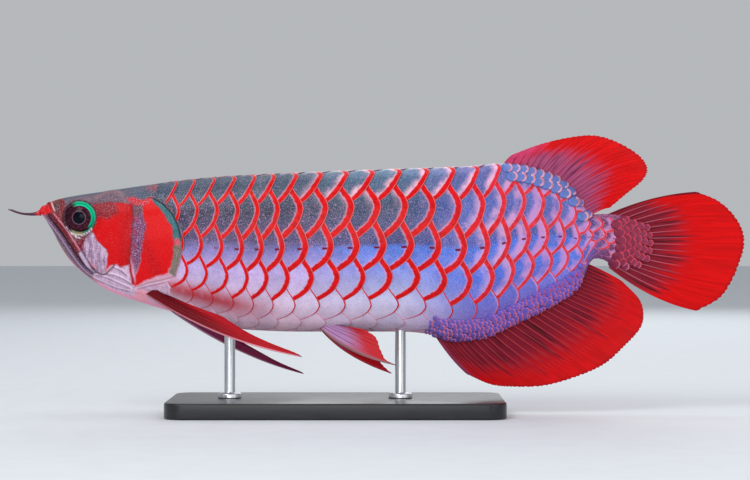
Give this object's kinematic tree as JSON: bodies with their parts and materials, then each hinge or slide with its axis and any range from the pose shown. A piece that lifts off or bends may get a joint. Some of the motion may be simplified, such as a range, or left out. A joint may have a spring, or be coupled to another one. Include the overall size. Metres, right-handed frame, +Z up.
{
  "type": "asian arowana",
  "caption": "Life-size still model of a red Asian arowana: deep scaled body, upturned mouth with barbels, fan fins, held over a flat base by short rods.",
  "frame": {"origin": "centre of the model's outline seen from above, at the underside of the base", "axes": "+Z up, -X out of the snout, -Y out of the fish's left side"},
  "size_m": [0.5516, 0.116, 0.2089],
  "materials": {
    "head_skin": "satin",
    "gill_cover_skin": "gloss",
    "eye_lens": "gloss",
    "barbel_skin": "satin",
    "scale_skin": "satin",
    "fin_membrane": "satin",
    "paired_fin_membrane": "satin",
    "stand_board": "gloss",
    "stand_steel": "brushed"
  },
  "bodies": {
    "root": {"head": "head_skin", "lower_jaw": "head_skin", "gill_cover_right": "gill_cover_skin", "gill_cover_left": "gill_cover_skin", "eye_right": "eye_lens", "eye_left": "eye_lens", "barbel_right": "barbel_skin", "barbel_left": "barbel_skin", "trunk_front": "scale_skin", "trunk_rear": "scale_skin", "tail_peduncle": "scale_skin", "dorsal_fin": "fin_membrane", "anal_fin": "fin_membrane", "caudal_fin": "fin_membrane", "pectoral_fin_right": "paired_fin_membrane", "pectoral_fin_left": "paired_fin_membrane", "pelvic_fin_right": "paired_fin_membrane", "pelvic_fin_left": "paired_fin_membrane", "stand_base": "stand_board", "stand_rod_front": "stand_steel", "stand_rod_rear": "stand_steel"}
  },
  "joints": []
}
